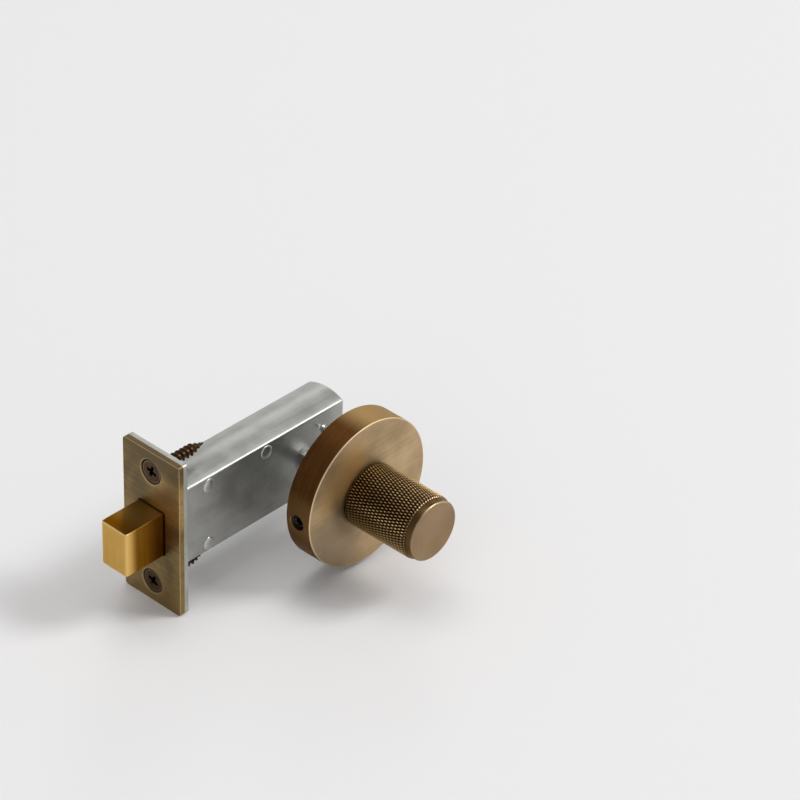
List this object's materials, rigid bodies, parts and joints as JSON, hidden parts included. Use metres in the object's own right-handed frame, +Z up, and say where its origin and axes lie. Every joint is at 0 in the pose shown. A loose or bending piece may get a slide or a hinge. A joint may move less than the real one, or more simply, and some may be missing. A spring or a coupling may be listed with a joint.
{
  "type": "thumb turn",
  "caption": "Knurled round thumb turn on a round rose, with the square spindle and tubular deadbolt that it throws from a door's edge.",
  "frame": {"origin": "the spindle's axis at the door's face, which is the plane of the rose's back", "axes": "+Z up; -Y out of the door along the spindle, towards the knob; -X towards the door's edge, the way the bolt is thrown"},
  "size_m": [0.1024, 0.0754, 0.057],
  "materials": {
    "rose_brass": "antique brass, linear brushing across the face and round the rim",
    "plate_brass": "antique brass, brushed across its width, bright worn edges",
    "knob_brass": "dark antique brass, knurled with rubbed crests, brushed end",
    "bolt_brass": "satin golden brass, brushed upright",
    "bronzed_screw": "dark bronzed steel",
    "blackened_steel": "blackened steel",
    "plated_screw": "zinc plated",
    "plated_steel": "zinc plated, drawn",
    "case_steel": "zinc plated, pressed",
    "rivet_steel": "bright steel",
    "spring_steel": "oiled spring steel",
    "cast_zinc": "die cast zinc, matt",
    "black_nylon": "moulded nylon",
    "white_nylon": "moulded nylon"
  },
  "bodies": {
    "lock_frame": {"rose_cover": "rose_brass", "fixing_plate": "cast_zinc", "fixing_plate_screws": "plated_screw", "rose_grub_screw": "blackened_steel", "neck_bush": "black_nylon", "thrust_washer": "spring_steel", "faceplate": "plate_brass", "faceplate_screws": "bronzed_screw", "forend": "plated_steel", "case_near_half": "case_steel", "case_far_half": "case_steel", "case_rivets": "rivet_steel", "bolt_guide": "white_nylon", "detent_spring": "spring_steel"},
    "turn": {"knob": "knob_brass", "neck_circlip": "spring_steel", "spindle_cross_pin": "plated_steel", "spindle": "plated_steel", "follower": "cast_zinc", "crank_pin": "rivet_steel"},
    "bolt_body": {"bolt": "bolt_brass", "bolt_tail": "plated_steel", "bolt_rivets": "rivet_steel"}
  },
  "joints": [
    {"name": "thumb_turn", "type": "hinge", "parent": "lock_frame", "child": "turn", "pos_m": [0, 0, 0], "axis": [0, 1, 0], "range_deg": [0, 90]},
    {"name": "bolt_throw", "type": "slide", "parent": "lock_frame", "child": "bolt_body", "axis": [1, 0, 0], "range_m": [0, 0.016]}
  ],
  "couplings": [
    {"joint": "thumb_turn", "follows": "bolt_throw", "rad_per_m": 98.17}
  ]
}
